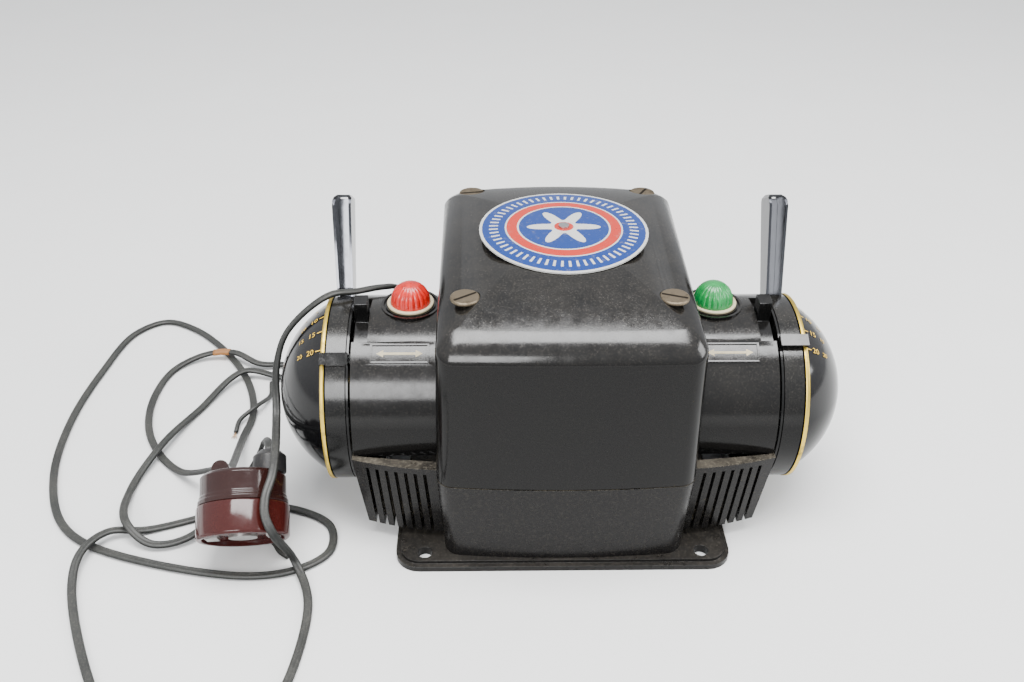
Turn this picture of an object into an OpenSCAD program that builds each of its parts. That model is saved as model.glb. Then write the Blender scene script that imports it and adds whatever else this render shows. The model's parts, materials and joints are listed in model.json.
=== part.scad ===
// Train set controller: a bench-top power controller for a model railway.
// A moulded centre housing carries two control drums on one axis.
// Each drum ends in a turning ring with a tall steel handle, a short pointer tab, a spring-centred
// rocker and a fixed dome.
// Frame: +X right, -Y front, +Z up. The origin is the centre of the base plate's four mounting
// holes, on the underside of the plate. Lengths are in millimetres.

/* [Base plate] */
// Width of the base plate
base_w = 194; // [188:1:200]
// Front edge, forward of the hole centre
base_front = 90; // [89:1:94]
// Rear edge, behind the hole centre
base_back = 94; // [92:1:98]
// Height of the base plate
base_t = 5.5; // [5:0.5:6]
// Corner radius of the base plate
base_r = 14; // [10:1:18]
// Half the spacing of the mounting holes, both ways
hole_half = 80; // [78:0.5:81]
// Radius of the mounting holes
hole_r = 4.3; // [3.3:0.5:4.8]

/* [Housing] */
// Height of the joint between cover and lower housing
seam_z = 58.5; // [57:0.5:60]
// Half width of the centre housing at the joint
mid_half = 72; // [71.5:0.5:73]
// Height of the crown of the cover
crown_z = 168; // [164:1:172]
// Wall thickness of the mouldings
wall = 3; // [2.5:0.5:3.5]
// Number of ventilation slots in each grille
slot_count = 7; // [5:1:8]

/* [Control drums] */
// Height of the control axis
axis_z = 69; // [68:0.5:70]
// Outer radius of the fixed drums
drum_r = 55; // [54.75:0.25:55]
// Outer end of the fixed drums, from the middle plane
drum_end = 119.6; // [119.2:0.1:119.8]
// Radius of the foot of the domes
dome_r = 51.5; // [50:0.5:52]
// Depth of the domes
dome_depth = 31; // [28:1:34]

/* [Controls] */
// Radius that the tall handles reach, from the control axis
handle_reach = 114.5; // [108:0.5:116]
// Angle of the tall handles at rest, up and back from straight forward
handle_angle = 117; // [117:1:119]
// Angle of the left pointer tab at rest
tab_angle_left = 50; // [48:1:52]
// Angle of the right pointer tab at rest
tab_angle_right = 60; // [58:1:61]

/* [Hidden] */
$fn = 64;
axis_y = -3;
// Middle housing outline, front and back, at the joint and at its foot
mid_front = 84.5;
mid_back = 88;
foot_half = 68.7;
foot_front = 81.5;
foot_back = 86;
bulge = 3.7;
// Side boxes below the drums, mirrored front to back about the control axis
box_half = 120.5;
box_foot_half = 114;
box_front = 60.5;
box_front_foot = 57.5;
box_bulge = 10;
box_foot_z = 10;
// Crown of the cover
crown_y = 15;
crown_k = 0.0000767;
crown_rx = 700;
edge_r = 13;
edge_h = 8;
// Positions across the machine, as distances from the middle plane
face_x = 54;
board_t = 1.2;
arm_x = 58;
tab_arm_x = 61.6;
frame_x = 64.6;
bracket_x = 104.6;
rocker_x = 109.5;
disc_x = 120.9;
disc_t = 1.2;
ring_x = 122.5;
ring_end = 133.5;
flange_x = 134.1;
dome_x = 136.5;
dome_sphere = (dome_r * dome_r + dome_depth * dome_depth) / (2 * dome_depth);
// Coaxial fits: spindle, main sleeve, tab sleeve, bushing, rocker hub
spindle_r = 3;
fit = 0.05;
main_r = 5;
tab_r = 7;
bush_r = 10;
hub_r = 13.5;
// Folded steel of the tall handles
strip_t = 1.5;
handle_x = 127.5;
handle_foot_r = 40;
rivet_r = 1.5;
rivet_at = 44;
// Lamps
lamp_x = 88;
lamp_y = 1;
lamp_z = 124.5;
lens_r = 11.4;
// Outlet on the cord
outlet_at = [-183, -70, 32];
outlet_tilt = 52;
outlet_yaw = 5;
outlet_r = 26;
// Cord
cord_d = 4;

// ---------------------------------------------------------------- shared shapes

// Runs a shape made for the right-hand side (+X), or its mirror image on the left.
module side(s) {
    if (s > 0) children();
    else mirror([1, 0, 0]) children();
}

module both_sides() {
    for (s = [-1, 1]) side(s) children();
}

// Turns +Z of a shape along +X and sets it on the control axis at distance x.
module on_axis(x) {
    translate([x, axis_y, axis_z]) rotate([0, 90, 0]) children();
}

// Puts a shape that was made standing up from the axis at an angle from straight forward.
module at_angle(a) {
    translate([0, axis_y, axis_z]) rotate([90 - a, 0, 0]) children();
}

// A ring on the control axis.
module ring(r_in, r_out, x0, x1) {
    on_axis(x0) difference() {
        cylinder(r = r_out, h = x1 - x0);
        translate([0, 0, -1]) cylinder(r = r_in, h = x1 - x0 + 2);
    }
}

// Part of a ring between two angles.
module sector(r_in, r_out, x0, x1, a0, a1) {
    translate([x0, axis_y, axis_z]) rotate([-90 - a1, 0, 0]) rotate([0, 90, 0])
        rotate_extrude(angle = a1 - a0) translate([r_in, 0]) square([r_out - r_in, x1 - x0]);
}

module block(x0, x1, y0, y1, z0, z1) {
    translate([x0, y0, z0]) cube([x1 - x0, y1 - y0, z1 - z0]);
}

// Outline with round corners and a front and back that bow outwards by b.
corner_steps = 6;
edge_steps = 8;
function corner(cx, cy, r, a0) =
    [for (i = [0:corner_steps]) let (a = a0 + 90 * i / corner_steps) [cx + r * cos(a), cy + r * sin(a)]];
function bow(p, half, b) = let (k = max(0, 1 - pow(p[0] / half, 2))) [p[0], p[1] + sign(p[1]) * b * k];
function edge(x0, x1, y) = [for (i = [1:edge_steps - 1]) [x0 + (x1 - x0) * i / edge_steps, y]];
function outline(half, front, back, r, b) =
    let (rb = r + 7, raw = concat(
        corner(half - r, -front + r, r, -90), corner(half - rb, back - rb, rb, 0),
        edge(half - rb, -half + rb, back),
        corner(-half + rb, back - rb, rb, 90), corner(-half + r, -front + r, r, 180),
        edge(-half + r, half - r, -front)))
    [for (p = raw) bow(p, half, b)];

// Solid through a stack of rings that all have the same number of points.
module loft(rings) {
    n = len(rings[0]);
    m = len(rings);
    points = [for (ring = rings) for (p = ring) p];
    walls = [for (k = [0:m - 2]) for (i = [0:n - 1]) let (j = (i + 1) % n)
        each [[k * n + i, (k + 1) * n + i, (k + 1) * n + j], [k * n + i, (k + 1) * n + j, k * n + j]]];
    lid = [for (i = [0:n - 1]) (m - 1) * n + (n - 1 - i)];
    floor_face = [for (i = [0:n - 1]) i];
    polyhedron(points = points, faces = concat([floor_face], walls, [lid]), convexity = 6);
}

function level(shape, z) = [for (p = shape) [p[0], p[1], z]];
function crown(p, drop) =
    crown_z - drop - crown_k * pow(abs(p[1] - crown_y), 2.7) - pow(p[0], 2) / (2 * crown_rx);
function scaled(shape, k) = [for (p = shape) [p[0] * k, crown_y + (p[1] - crown_y) * k]];

// Centre part of the cover, all surfaces moved inwards by t.
module cover_block(t, z0) {
    steps = t > 0 ? 4 : 12;
    half = mid_half - t;
    shoulder = outline(half - 1.8, mid_front - t, mid_back - t, 9, bulge);
    rounding = [for (i = [1:steps]) let (a = 90 * i / steps, d = edge_r * (1 - cos(a)), h = edge_h * (1 - sin(a)))
        [for (p = outline(half - 1.8 - d, mid_front - t - d, mid_back - t - d, max(2, 9 - d / 2), bulge))
            [p[0], p[1], crown(p, t + h)]]];
    top_shape = outline(half - 1.8 - edge_r, mid_front - t - edge_r, mid_back - t - edge_r, 2.5, bulge);
    inner = [for (k = [0.88, 0.74, 0.58, 0.4, 0.2]) [for (p = scaled(top_shape, k)) [p[0], p[1], crown(p, t)]]];
    base = outline(half, mid_front - t, mid_back - t, 9, bulge);
    wall_top = [for (p = shoulder) [p[0], p[1], crown(p, t + edge_h)]];
    loft(concat([level(base, z0), wall_top], rounding, inner));
}

// Lower centre block, all walls moved inwards by t.
module lower_block(t, z0) {
    loft([
        level(outline(foot_half - t, foot_front - t, foot_back - t, 9, bulge), z0),
        level(outline(mid_half - t, mid_front - t, mid_back - t, 9, bulge), seam_z + (t > 0 ? 1 : 0))]);
}

// Side box below the right drum, all walls moved inwards by t.
function box_line(half, front, t, x) = front - t + box_bulge * (1 - pow((x - 60) / (half - 60), 2));
function box_shape(half, front, t) =
    let (reach = half - t, n = 8)
    concat(
        [for (i = [0:n]) let (x = 60 + (reach - 60) * i / n) [x, -box_line(half, front, t, x)]],
        [for (i = [n:-1:0]) let (x = 60 + (reach - 60) * i / n) [x, 2 * axis_y + box_line(half, front, t, x)]]);
module side_box(t, z0, z1) {
    loft([
        level(box_shape(box_foot_half, box_front_foot, t), z0),
        level(box_shape(box_half, box_front, t), z1)]);
}

// Opening in the top of a side box, behind the ledge at the front and ahead of the one at the rear.
module box_mouth() {
    edge_line = [[60, 63.2], [74, 62.6], [104.6, 59.2], [117.4, 57.4]];
    translate([0, 0, seam_z - 4]) linear_extrude(6) polygon(concat(
        [for (p = edge_line) [p[0], -p[1]]],
        [for (i = [3:-1:0]) [edge_line[i][0], 2 * axis_y + edge_line[i][1]]]));
}

// ---------------------------------------------------------------- base and lower housing

module plate_shape(inset) {
    w = base_w / 2 - inset;
    r = base_r - inset;
    front = base_front - inset;
    back = base_back - inset;
    polygon([for (p = concat(corner(w - r, -front + r, r, -90), corner(w - r, back - r, r, 0),
        corner(-w + r, back - r, r, 90), corner(-w + r, -front + r, r, 180))) p]);
}

module hole_places() {
    for (x = [-hole_half, hole_half], y = [-hole_half, hole_half]) translate([x, y, 0]) children();
}

module foot_screw_places() {
    for (x = [-56, 56], y = [-60, 62]) translate([x, y, 0]) children();
}

module base_plate() {
    color([0.13, 0.12, 0.11]) difference() {
        union() {
            linear_extrude(3.5) plate_shape(0);
            linear_extrude(base_t) plate_shape(3);
        }
        hole_places() translate([0, 0, -1]) cylinder(r = hole_r, h = base_t + 2);
        foot_screw_places() translate([0, 0, -1]) cylinder(r = 2.3, h = base_t + 2);
        foot_screw_places() translate([0, 0, -1]) cylinder(r = 4.3, h = 3.5);
    }
}

module base_screws() {
    color([0.6, 0.6, 0.62]) foot_screw_places() {
        translate([0, 0, 0.3]) cylinder(r = 4, h = 2.2);
        cylinder(r = 2, h = 16);
    }
}

slot_pitch = 5.45;
slot_first = 79;
module slot_cuts(y0, y1) {
    for (i = [0:slot_count - 1]) {
        x = slot_first + i * slot_pitch;
        translate([0, y1, 0]) rotate([90, 0, 0]) linear_extrude(y1 - y0)
            polygon([[x - 4.4, box_foot_z - 2], [x - 2.5, box_foot_z - 2], [x + 0.95, 54.5], [x - 0.95, 54.5]]);
    }
}

module lower_housing() {
    color([0.12, 0.11, 0.1]) difference() {
        union() {
            lower_block(0, base_t);
            both_sides() side_box(0, box_foot_z, seam_z);
            foot_screw_places() translate([0, 0, base_t]) cylinder(r = 6, h = 12);
        }
        difference() {
            union() {
                lower_block(wall, base_t + wall);
                both_sides() {
                    side_box(wall, box_foot_z + wall, seam_z - 3);
                    box_mouth();
                }
            }
            foot_screw_places() translate([0, 0, base_t]) cylinder(r = 6, h = 12);
            cover_screw_places() translate([0, 0, base_t]) cylinder(r = 5, h = 40);
        }
        both_sides() {
            slot_cuts(-90, -50);
            slot_cuts(50, 90);
        }
        foot_screw_places() cylinder(r = 2, h = 16.2);
        cover_screw_places() translate([0, 0, 30]) cylinder(r = 2.2, h = 30);
        for (x = post_x) translate([x, mid_back - 8, post_z]) rotate([-90, 0, 0]) cylinder(r = 2.5, h = 20);
        translate([gland_x, mid_back - 8, gland_z]) rotate([-90, 0, 0]) cylinder(r = 5, h = 20);
    }
}

// ---------------------------------------------------------------- cover

module cover_screw_places() {
    for (p = [[-55, -50], [55, -50], [-53, 75], [53, 75]]) translate([p[0], p[1], 0]) children();
}
function screw_top(y) = crown([54, y], 0);

label_x0 = 76;
label_x1 = 109;
module drum_shell() {
    difference() {
        union() {
            ring(drum_r - wall, drum_r, mid_half - 3, drum_end);
            ring(17, drum_r - 1, bracket_x + 2.4, rocker_x - 0.4);
            difference() {
                sector(drum_r - 1, drum_r + 0.9, label_x0, label_x1, 48, 60);
                sector(drum_r + 0.4, drum_r + 3, label_x0 + 1.2, label_x1 - 1.2, 49.2, 58.8);
            }
            translate([lamp_x, lamp_y, 112]) cylinder(r = 17, h = lamp_z - 112);
        }
        block(60, 130, -80, 80, -10, seam_z);
        sector(40, 70, 110.8, drum_end + 1, 61.5, 103);
        translate([lamp_x, lamp_y, lamp_z - 1.2]) difference() {
            cylinder(r = 15.6, h = 3);
            translate([0, 0, -1]) cylinder(r = 14.4, h = 5);
        }
        translate([lamp_x, lamp_y, 100]) cylinder(r = 9.5, h = 40);
    }
}

module cover() {
    color([0.1, 0.09, 0.085]) difference() {
        union() {
            difference() {
                cover_block(0, seam_z + 0.8);
                cover_block(wall, seam_z - 1);
            }
            both_sides() drum_shell();
            intersection() {
                cover_screw_places() translate([0, 0, seam_z]) cylinder(r = 5, h = 110);
                cover_block(1, seam_z);
            }
        }
        both_sides() translate([0, axis_y, 0]) {
            translate([60, 0, axis_z]) rotate([0, 90, 0]) cylinder(r = 14, h = 12);
            block(60, 72, -14, 14, seam_z - 1, axis_z);
        }
        cover_screw_places() translate([0, 0, seam_z - 1]) cylinder(r = 2.3, h = 120);
        for (p = [[-55, -50], [55, -50], [-53, 75], [53, 75]])
            translate([p[0], p[1], screw_top(p[1]) - 2.6]) cylinder(r = 8, h = 12);
        translate([0, badge_y, crown_z - 6]) cylinder(r = 1.6, h = 10);
    }
}

module cover_screws() {
    color([0.66, 0.6, 0.45]) for (p = [[-55, -50], [55, -50], [-53, 75], [53, 75]]) {
        translate([p[0], p[1], screw_top(p[1]) - 2.6]) cylinder(r = 7.9, h = 2);
        translate([p[0], p[1], 34]) cylinder(r = 2, h = screw_top(p[1]) - 36);
    }
}

badge_y = 10.8;
badge_r = 48;
// Thin disc that follows the crown of the cover.
function badge_ring(r, up) = [for (i = [0:47]) let (p = [r * cos(7.5 * i), badge_y + r * sin(7.5 * i)])
    [p[0], p[1], crown(p, 0) + up]];
module badge() {
    color([0.75, 0.76, 0.78]) difference() {
        loft(concat(
            [for (r = [2, 12, 24, 36, badge_r]) badge_ring(r, 0.3)],
            [for (r = [badge_r, 36, 24, 12, 2]) badge_ring(r, 1.2)]));
        translate([0, badge_y, crown_z - 6]) cylinder(r = 1.6, h = 12);
    }
}

module badge_rivet() {
    color([0.7, 0.7, 0.7]) translate([0, badge_y, crown_z - 5]) {
        cylinder(r = 1.5, h = 7);
        translate([0, 0, 6.3]) cylinder(r = 3, h = 1);
    }
}

// ---------------------------------------------------------------- lamps

module lamp_lens(s) {
    side(s) translate([lamp_x, lamp_y, lamp_z]) difference() {
        union() {
            cylinder(r = lens_r, h = 2.4);
            translate([0, 0, 2.4]) intersection() {
                sphere(r = lens_r);
                cylinder(r = 13, h = 13);
            }
        }
        translate([0, 0, -1]) cylinder(r = lens_r - 2, h = 3.4);
        translate([0, 0, 2.4]) sphere(r = lens_r - 2);
    }
}
module lamp_lens_red() {
    color([0.8, 0.1, 0.06, 0.9]) lamp_lens(-1);
}
module lamp_lens_green() {
    color([0.05, 0.6, 0.2, 0.9]) lamp_lens(1);
}

module lamp_rings() {
    color([0.85, 0.8, 0.65]) both_sides() translate([lamp_x, lamp_y, lamp_z]) difference() {
        cylinder(r = 13.5, h = 1.5);
        translate([0, 0, -1]) cylinder(r = lens_r + 0.05, h = 4);
    }
}

module lamp_bulbs() {
    color([0.95, 0.95, 0.9, 0.5]) both_sides() translate([lamp_x, lamp_y, 0]) {
        translate([0, 0, lamp_z + 3]) sphere(r = 5);
        translate([0, 0, 115]) cylinder(r = 4, h = lamp_z - 113);
    }
}

module lamp_sockets() {
    color([0.7, 0.6, 0.3]) both_sides() translate([lamp_x, lamp_y, 108]) difference() {
        cylinder(r = 5.4, h = 14);
        translate([0, 0, 7]) cylinder(r = 4.05, h = 10);
    }
}

// ---------------------------------------------------------------- transformer

core_half = 44;
core_y0 = axis_y - 20;
core_y1 = axis_y + 20;
core_z0 = 18;
core_z1 = 120;
module core_laminations() {
    color([0.35, 0.33, 0.31]) difference() {
        block(-core_half, core_half, core_y0, core_y1, core_z0, core_z1);
        block(-16, 16, core_y0 - 1, core_y1 + 1, core_z0 + 20, core_z1 - 20);
        for (x = [-36, 36], z = [core_z0 + 8, core_z1 - 8])
            translate([x, core_y0 - 1, z]) rotate([-90, 0, 0]) cylinder(r = 2.5, h = 50);
    }
}

module core_clamps() {
    color([0.45, 0.45, 0.47]) for (s = [-1, 1]) {
        y0 = s < 0 ? core_y0 - 2.2 : core_y1 + 0.2;
        difference() {
            union() {
                block(-core_half, core_half, y0, y0 + 2, core_z0 - 1, core_z0 + 16);
                block(-core_half, core_half, s < 0 ? y0 - 10 : y0, s < 0 ? y0 + 2 : y0 + 12, core_z0 - 9.3, core_z0 - 7.3);
                block(-core_half, -core_half + 12, y0, y0 + 2, core_z0 - 9, core_z0);
                block(core_half - 12, core_half, y0, y0 + 2, core_z0 - 9, core_z0);
            }
            for (x = [-36, 36])
                translate([x, core_y0 - 5, core_z0 + 8]) rotate([-90, 0, 0]) cylinder(r = 2.5, h = 60);
        }
    }
}

module core_bolts() {
    color([0.6, 0.58, 0.5]) for (x = [-36, 36], z = [core_z0 + 8, core_z1 - 8])
        translate([x, core_y0 - 5, z]) rotate([-90, 0, 0]) {
            cylinder(r = 2.4, h = 50);
            cylinder(r = 4.5, h = 2.6, $fn = 6);
            translate([0, 0, 47.4]) cylinder(r = 4.5, h = 2.6, $fn = 6);
        }
}

module coil(s) {
    side(s) difference() {
        block(2, face_x, axis_y - 34, axis_y + 34, core_z0 + 21, core_z1 - 21);
        block(15.8, core_half + 0.2, core_y0 - 0.2, core_y1 + 0.2, core_z0, core_z1);
    }
}
module coil_left() {
    color([0.55, 0.3, 0.14]) coil(-1);
}
module coil_right() {
    color([0.55, 0.3, 0.14]) coil(1);
}

module contact_boards() {
    color([0.72, 0.45, 0.22]) both_sides() {
        difference() {
            block(face_x, face_x + board_t, axis_y - 32, axis_y + 32, core_z0 + 22, core_z1 - 22);
            on_axis(face_x - 1) cylinder(r = spindle_r, h = 5);
        }
    }
}

// ---------------------------------------------------------------- frames and bushings

module inner_frames() {
    color([0.5, 0.5, 0.52]) both_sides() difference() {
        union() {
            on_axis(frame_x) cylinder(r = 24, h = 2);
            block(frame_x, frame_x + 2, axis_y - 16, axis_y + 16, 13.4, axis_z);
            block(frame_x - 10, frame_x + 2, axis_y - 16, axis_y + 16, 13.4, 15.4);
            block(frame_x - 10, frame_x - 6, axis_y - 16, axis_y + 16, 8.6, 14);
        }
        on_axis(frame_x - 1) cylinder(r = bush_r, h = 5);
    }
}

module outer_brackets() {
    color([0.5, 0.5, 0.52]) both_sides() difference() {
        union() {
            on_axis(bracket_x) cylinder(r = 15.5, h = 2);
            block(bracket_x, bracket_x + 2, axis_y - 12, axis_y + 12, box_foot_z + wall, axis_z);
            block(bracket_x - 12, bracket_x + 2, axis_y - 12, axis_y + 12, box_foot_z + wall, box_foot_z + wall + 2);
        }
        on_axis(bracket_x - 1) cylinder(r = bush_r, h = 5);
    }
}

module bushings() {
    color([0.75, 0.6, 0.35]) both_sides() {
        ring(tab_r + fit, bush_r, frame_x, frame_x + 8);
        ring(tab_r + fit, bush_r, bracket_x - 3, 119.4);
    }
}

module spindles() {
    color([0.7, 0.7, 0.72]) both_sides() on_axis(face_x) cylinder(r = spindle_r, h = 150 - face_x);
}

// ---------------------------------------------------------------- electrical parts

module circuit_breaker() {
    color([0.2, 0.18, 0.16]) {
        block(-20, 16, 44, 60, 14, 40);
        block(-16, 12, 47, 57, 8.6, 14);
    }
}

post_z = 34;
post_x = [-38, -27, -16, -5, 6, 17, 28, 39];
gland_x = -50;
gland_z = 30;
module terminal_board() {
    color([0.35, 0.2, 0.1]) difference() {
        block(-43, 44, 76, 78.5, 24, 44);
        for (x = post_x) translate([x, 70, post_z]) rotate([-90, 0, 0]) cylinder(r = 2, h = 20);
    }
}

module binding_posts() {
    color([0.75, 0.62, 0.3]) for (x = post_x) translate([x, 72, post_z]) rotate([-90, 0, 0]) {
        cylinder(r = 2, h = 30);
        cylinder(r = 4, h = 4, $fn = 6);
    }
}

module thumb_nuts() {
    color([0.78, 0.66, 0.35]) for (x = post_x) translate([x, 92.6, post_z]) rotate([-90, 0, 0]) difference() {
        union() {
            cylinder(r = 4.5, h = 5);
            cylinder(r = 3.2, h = 6.4);
        }
        translate([0, 0, -1]) cylinder(r = 2, h = 9);
    }
}

module cord_gland() {
    color([0.07, 0.07, 0.07]) translate([gland_x, 82, gland_z]) rotate([-90, 0, 0]) {
        cylinder(r = 4.9, h = 12);
        translate([0, 0, 10.5]) cylinder(r1 = 7, r2 = 3.4, h = 7.5);
    }
}

module rocker_springs() {
    color([0.6, 0.6, 0.6]) both_sides() on_axis(107.3) difference() {
        cylinder(r = 12.6, h = 1.6);
        translate([0, 0, -1]) cylinder(r = bush_r + 0.2, h = 4);
    }
}

// ---------------------------------------------------------------- domes, fixed on the spindles

module dome(s) {
    side(s) on_axis(0) rotate_extrude($fn = 128) difference() {
        union() {
            intersection() {
                translate([0, dome_x + dome_depth - dome_sphere]) difference() {
                    circle(r = dome_sphere, $fn = 160);
                    circle(r = dome_sphere - 3, $fn = 160);
                }
                translate([0, dome_x]) square([60, 40]);
            }
            polygon([[47, flange_x], [55.2, flange_x], [55.2, 135.6], [53.6, dome_x], [51, dome_x + 0.6], [47, dome_x + 0.6]]);
            translate([0, 131]) square([6, dome_x + dome_depth - 133]);
        }
        translate([-1, 130]) square([spindle_r + 1, 20]);
    }
}
module dome_left() {
    color([0.09, 0.09, 0.1]) dome(-1);
}
module dome_right() {
    color([0.09, 0.09, 0.1]) dome(1);
}

// ---------------------------------------------------------------- main control, one per side

module rivet_bore() {
    at_angle(handle_angle) translate([100, 0, rivet_at]) for (y = [-2.5, 2.5])
        translate([0, y, 0]) rotate([0, 90, 0]) cylinder(r = rivet_r, h = 60);
}

module handle_ring(s) {
    side(s) difference() {
        union() {
            ring(51, 55, ring_x, ring_end);
            ring(main_r, 52, 126, 128.5);
            ring(main_r, 9, 125, 130);
        }
        at_angle(handle_angle) block(ring_x - 1, 132.4, -7.4, 7.4, 50, 60);
        at_angle(handle_angle) block(ring_x - 1, 132.4, 5.2, 7.4, 39.5, 60);
        rivet_bore();
    }
}
module handle_ring_left() {
    color([0.09, 0.09, 0.1]) handle_ring(-1);
}
module handle_ring_right() {
    color([0.09, 0.09, 0.1]) handle_ring(1);
}

// Folded channel: two legs and a web at the back, wider towards the top.
module channel_front(g) {
    top = handle_reach - g;
    translate([0, 20, 0]) rotate([90, 0, 0]) linear_extrude(40) polygon([
        [handle_x - 4.5 + g, handle_foot_r], [handle_x + 4.5 - g, handle_foot_r],
        [handle_x + 6.9 - g, top - 4], [handle_x + 6.3 - g, top - 1.4], [handle_x + 4.5 - g / 2, top],
        [handle_x - 2.6 + g / 2, top], [handle_x - 4.3 + g, top - 2]]);
}
module channel_side() {
    translate([100, 0, 0]) rotate([90, 0, 90]) linear_extrude(60) polygon([
        [-7, handle_foot_r], [7, handle_foot_r], [7, 56], [10, handle_reach - 4],
        [7, handle_reach], [-3, handle_reach], [-8, handle_reach - 3], [-10, handle_reach - 7], [-7, 56]]);
}
module handle(s) {
    side(s) difference() {
        at_angle(handle_angle) difference() {
            intersection() {
                channel_front(0);
                channel_side();
            }
            intersection() {
                translate([0, 0, -0.01]) channel_front(strip_t);
                translate([0, -strip_t, 0]) channel_cut();
            }
        }
        rivet_bore();
    }
}
module channel_cut() {
    translate([100, 0, 0]) rotate([90, 0, 90]) linear_extrude(60) polygon([
        [-20, 30], [7, 30], [7, 56], [10, handle_reach - 4], [10, handle_reach + 5], [-20, handle_reach + 5]]);
}
module handle_left() {
    color([0.75, 0.76, 0.78]) handle(-1);
}
module handle_right() {
    color([0.75, 0.76, 0.78]) handle(1);
}

module handle_rivets(s) {
    side(s) at_angle(handle_angle) for (y = [-2.5, 2.5]) translate([0, y, rivet_at]) rotate([0, 90, 0]) {
        translate([0, 0, 122.45]) cylinder(r = rivet_r, h = 10.5);
        translate([0, 0, 122.45]) cylinder(r = 2.2, h = 0.5);
        translate([0, 0, 132.2]) cylinder(r = 2.2, h = 0.8);
    }
}
module handle_rivets_left() {
    color([0.3, 0.3, 0.3]) handle_rivets(-1);
}
module handle_rivets_right() {
    color([0.3, 0.3, 0.3]) handle_rivets(1);
}

module main_sleeve(s) {
    side(s) ring(spindle_r + fit, main_r, arm_x - 1, 130);
}
module main_sleeve_left() {
    color([0.7, 0.6, 0.4]) main_sleeve(-1);
}
module main_sleeve_right() {
    color([0.7, 0.6, 0.4]) main_sleeve(1);
}

brush_r = 26;
main_arm_angle = 117;
module contact_arm(x, hub, bore) {
    difference() {
        union() {
            on_axis(x) cylinder(r = hub, h = 2);
            children(0);
        }
        on_axis(x - 1) cylinder(r = bore, h = 4);
        children(1);
    }
}
module main_arm(s) {
    side(s) contact_arm(arm_x, 8, main_r) {
        at_angle(main_arm_angle) block(arm_x, arm_x + 2, -4, 4, 0, brush_r + 5);
        at_angle(main_arm_angle) translate([arm_x - 1, 0, brush_r]) rotate([0, 90, 0]) cylinder(r = 2.65, h = 4);
    }
}
module main_arm_left() {
    color([0.75, 0.65, 0.4]) main_arm(-1);
}
module main_arm_right() {
    color([0.75, 0.65, 0.4]) main_arm(1);
}

module main_brush(s) {
    side(s) at_angle(main_arm_angle) translate([face_x + board_t + 0.3, 0, brush_r]) rotate([0, 90, 0])
        cylinder(r = 2.6, h = 5);
}
module main_brush_left() {
    color([0.15, 0.15, 0.16]) main_brush(-1);
}
module main_brush_right() {
    color([0.15, 0.15, 0.16]) main_brush(1);
}

// ---------------------------------------------------------------- pointer tab, one per side

module tab_disc(s, a) {
    side(s) {
        ring(tab_r, dome_r + 3, disc_x, disc_x + disc_t);
        ring(tab_r, 9.6, disc_x - 0.9, disc_x + 0.5);
        at_angle(a) block(disc_x, disc_x + disc_t, -3.5, 3.5, 50, 59.3);
        at_angle(a) block(disc_x, dome_x, -3.5, 3.5, 56.3, 59.3);
    }
}
module tab_disc_left() {
    color([0.08, 0.08, 0.08]) tab_disc(-1, tab_angle_left);
}
module tab_disc_right() {
    color([0.08, 0.08, 0.08]) tab_disc(1, tab_angle_right);
}

module tab_sleeve(s) {
    side(s) ring(main_r + fit, tab_r, tab_arm_x - 0.4, disc_x + disc_t);
}
module tab_sleeve_left() {
    color([0.72, 0.55, 0.35]) tab_sleeve(-1);
}
module tab_sleeve_right() {
    color([0.72, 0.55, 0.35]) tab_sleeve(1);
}

module tab_arm(s, a) {
    side(s) contact_arm(tab_arm_x, 10, tab_r) {
        at_angle(a - 15) block(tab_arm_x, tab_arm_x + 2, -4, 4, 0, brush_r + 5);
        at_angle(a - 15) translate([tab_arm_x - 1, 0, brush_r]) rotate([0, 90, 0]) cylinder(r = 2.65, h = 4);
    }
}
module tab_arm_left() {
    color([0.75, 0.65, 0.4]) tab_arm(-1, tab_angle_left);
}
module tab_arm_right() {
    color([0.75, 0.65, 0.4]) tab_arm(1, tab_angle_right);
}

module tab_brush(s, a) {
    side(s) at_angle(a - 15) translate([face_x + board_t + 0.3, 0, brush_r]) rotate([0, 90, 0])
        cylinder(r = 2.6, h = 8.4);
}
module tab_brush_left() {
    color([0.15, 0.15, 0.16]) tab_brush(-1, tab_angle_left);
}
module tab_brush_right() {
    color([0.15, 0.15, 0.16]) tab_brush(1, tab_angle_right);
}

// ---------------------------------------------------------------- rocker, one per side

module rocker(s) {
    side(s) {
        ring(bush_r + fit, hub_r, rocker_x, 117);
        difference() {
            at_angle(85) block(112, 115, -7, 7, hub_r - 2, 50.5);
            on_axis(rocker_x) cylinder(r = hub_r - 0.5, h = 20);
        }
        sector(50, 51.7, 111, 119, 58, 125);
        at_angle(85) block(111.5, 119, -4.7, 4.7, 50.5, 64);
    }
}
module rocker_left() {
    color([0.05, 0.05, 0.05]) rocker(-1);
}
module rocker_right() {
    color([0.05, 0.05, 0.05]) rocker(1);
}

// ---------------------------------------------------------------- outlet on the cord

module at_outlet() {
    translate(outlet_at) rotate([-outlet_tilt, 0, outlet_yaw]) children();
}
module outlet_base() {
    color([0.3, 0.08, 0.05]) at_outlet() rotate_extrude() polygon([
        [0, -15.5], [22.6, -15.5], [22.6, -18.5], [outlet_r - 1, -18.5], [outlet_r, -17.5],
        [outlet_r, -1.2], [outlet_r - 0.6, 0.4], [0, 0.4]]);
}
module outlet_cover() {
    color([0.2, 0.1, 0.07]) at_outlet() {
        rotate_extrude() polygon([
            [0, 0.5], [outlet_r - 0.7, 0.5], [outlet_r - 0.7, 3], [outlet_r - 1.4, 3.7],
            [outlet_r - 1.4, 5.2], [outlet_r - 1.9, 5.8], [outlet_r - 1.9, 16.6],
            [outlet_r - 3.6, 18.5], [0, 18.5]]);
        translate([-12.5, -4, 22.5]) rotate([-90, 0, 0]) cylinder(r = 5, h = 11);
    }
}
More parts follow.
